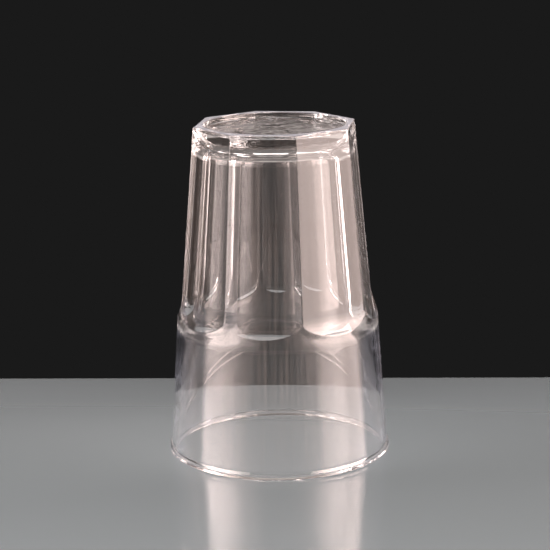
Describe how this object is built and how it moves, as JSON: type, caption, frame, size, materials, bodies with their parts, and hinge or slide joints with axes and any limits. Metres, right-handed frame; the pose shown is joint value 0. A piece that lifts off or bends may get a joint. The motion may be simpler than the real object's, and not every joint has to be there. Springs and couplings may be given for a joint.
{
  "type": "highball glass",
  "caption": "Tapered glass tumbler with flat panels, arched panel ends, a smooth band and a beaded rim, for cold drinks; standing mouth down on its rim.",
  "frame": {"origin": "centre of the rim's resting plane, with the glass standing mouth down", "axes": "+Z along the glass's own axis, from the rim up to the foot; +X and +Y through the middles of two flat panels, so that all panel middles lie on the X and Y axes and their diagonals"},
  "size_m": [0.0854, 0.0854, 0.127],
  "materials": {
    "glass": "clear, smooth, lightly scratched from use"
  },
  "bodies": {
    "root": {"glass": "glass"}
  },
  "joints": []
}
